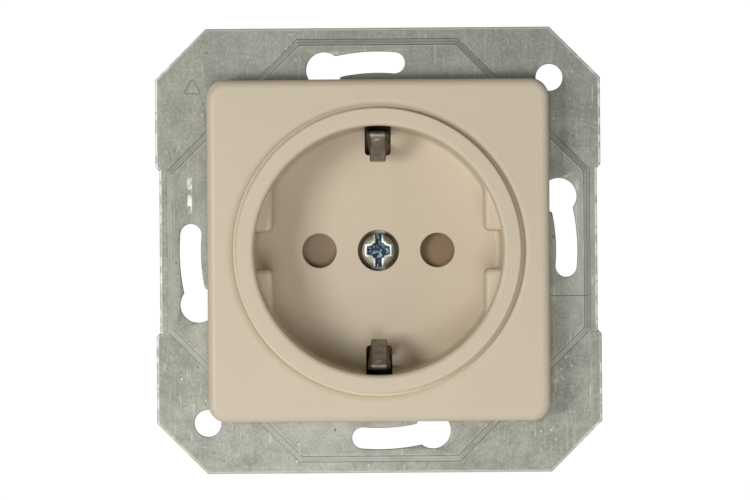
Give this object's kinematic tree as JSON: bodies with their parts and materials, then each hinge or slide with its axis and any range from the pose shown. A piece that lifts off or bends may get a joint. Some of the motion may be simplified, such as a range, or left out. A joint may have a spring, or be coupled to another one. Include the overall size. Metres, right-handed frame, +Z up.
{
  "type": "earthed wall socket insert",
  "caption": "Flush wall socket insert: square steel support plate, square moulded cover with a round plug recess, sprung earth clips, shuttered pin holes and screw terminals behind.",
  "frame": {"origin": "on the axis of the round plug recess, in the wall plane that the rear of the support plate's rim lies on", "axes": "+X right and +Z up as seen from the room, +Y into the wall"},
  "size_m": [0.071, 0.0431, 0.071],
  "materials": {
    "cover_plastic": "smooth beige thermoset, semi-gloss",
    "base_plastic": "dark brown phenolic moulding, satin",
    "shutter_plastic": "brown moulded plastic, satin",
    "galvanised_steel": "galvanised sheet with dull spangle and scuffs",
    "zinc_screw": "zinc-plated, bright",
    "clip_metal": "nickel-plated bronze strip, tarnished",
    "contact_bronze": "phosphor bronze strip",
    "spring_steel": "drawn spring wire"
  },
  "bodies": {
    "insert": {"support_plate": "galvanised_steel", "cover_plate": "cover_plastic", "socket_cup": "cover_plastic", "shutter_spring": "spring_steel", "shutter_carrier": "base_plastic", "socket_base": "base_plastic", "rear_cover": "base_plastic", "base_screws": "zinc_screw", "rear_cover_screws": "zinc_screw", "earth_strap": "clip_metal", "line_contact": "contact_bronze", "neutral_contact": "contact_bronze"},
    "shutter": {"shutter": "shutter_plastic"},
    "earth_clip_top": {"earth_clip_top": "clip_metal"},
    "earth_clip_bottom": {"earth_clip_bottom": "clip_metal"},
    "line_leaf_upper": {"line_leaf_upper": "contact_bronze"},
    "line_leaf_lower": {"line_leaf_lower": "contact_bronze"},
    "neutral_leaf_upper": {"neutral_leaf_upper": "contact_bronze"},
    "neutral_leaf_lower": {"neutral_leaf_lower": "contact_bronze"},
    "line_clamp": {"line_clamp": "zinc_screw"},
    "neutral_clamp": {"neutral_clamp": "zinc_screw"},
    "earth_clamp": {"earth_clamp": "zinc_screw"},
    "line_screw": {"line_screw": "zinc_screw"},
    "neutral_screw": {"neutral_screw": "zinc_screw"},
    "earth_screw": {"earth_screw": "zinc_screw"},
    "cover_screw": {"cover_screw": "zinc_screw"}
  },
  "joints": [
    {"name": "shutter_turn", "type": "hinge", "parent": "insert", "child": "shutter", "pos_m": [0, 0.0101, 0], "axis": [0, 1, 0], "range_deg": [0, 38], "stiffness_Nm_per_rad": 0.004, "springref_deg": -20.05, "deforming": ["shutter_spring"]},
    {"name": "earth_clip_top_flex", "type": "hinge", "parent": "insert", "child": "earth_clip_top", "pos_m": [0, 0.0126, 0.019], "axis": [-1, 0, 0], "range_deg": [0, 6], "stiffness_Nm_per_rad": 0.3},
    {"name": "earth_clip_bottom_flex", "type": "hinge", "parent": "insert", "child": "earth_clip_bottom", "pos_m": [0, 0.0126, -0.019], "axis": [1, 0, 0], "range_deg": [0, 6], "stiffness_Nm_per_rad": 0.3},
    {"name": "line_leaf_upper_flex", "type": "hinge", "parent": "insert", "child": "line_leaf_upper", "pos_m": [-0.0095, 0.0272, 0.00375], "axis": [-1, 0, 0], "range_deg": [0, 3], "stiffness_Nm_per_rad": 0.3},
    {"name": "line_leaf_lower_flex", "type": "hinge", "parent": "insert", "child": "line_leaf_lower", "pos_m": [-0.0095, 0.0272, -0.00375], "axis": [1, 0, 0], "range_deg": [0, 3], "stiffness_Nm_per_rad": 0.3},
    {"name": "neutral_leaf_upper_flex", "type": "hinge", "parent": "insert", "child": "neutral_leaf_upper", "pos_m": [0.0095, 0.0272, 0.00375], "axis": [-1, 0, 0], "range_deg": [0, 3], "stiffness_Nm_per_rad": 0.3},
    {"name": "neutral_leaf_lower_flex", "type": "hinge", "parent": "insert", "child": "neutral_leaf_lower", "pos_m": [0.0095, 0.0272, -0.00375], "axis": [1, 0, 0], "range_deg": [0, 3], "stiffness_Nm_per_rad": 0.3},
    {"name": "line_screw_turn", "type": "hinge", "parent": "insert", "child": "line_screw", "pos_m": [-0.012, 0.0234, -0.0202], "axis": [0, 0, 1], "range_deg": [0, 1440]},
    {"name": "line_clamp_slide", "type": "slide", "parent": "insert", "child": "line_clamp", "axis": [0, 0, -1], "range_m": [0, 0.0024]},
    {"name": "neutral_screw_turn", "type": "hinge", "parent": "insert", "child": "neutral_screw", "pos_m": [0.012, 0.0234, -0.0202], "axis": [0, 0, 1], "range_deg": [0, 1440]},
    {"name": "neutral_clamp_slide", "type": "slide", "parent": "insert", "child": "neutral_clamp", "axis": [0, 0, -1], "range_m": [0, 0.0024]},
    {"name": "earth_screw_turn", "type": "hinge", "parent": "insert", "child": "earth_screw", "pos_m": [0, 0.0234, -0.0202], "axis": [0, 0, 1], "range_deg": [0, 1440]},
    {"name": "earth_clamp_slide", "type": "slide", "parent": "insert", "child": "earth_clamp", "axis": [0, 0, -1], "range_m": [0, 0.0024]},
    {"name": "cover_screw_turn", "type": "hinge", "parent": "insert", "child": "cover_screw", "pos_m": [0, 0.0085, 0], "axis": [0, 1, 0], "continuous": true}
  ],
  "couplings": [
    {"joint": "line_screw_turn", "follows": "line_clamp_slide", "rad_per_m": 10472},
    {"joint": "neutral_screw_turn", "follows": "neutral_clamp_slide", "rad_per_m": 10472},
    {"joint": "earth_screw_turn", "follows": "earth_clamp_slide", "rad_per_m": 10472}
  ]
}
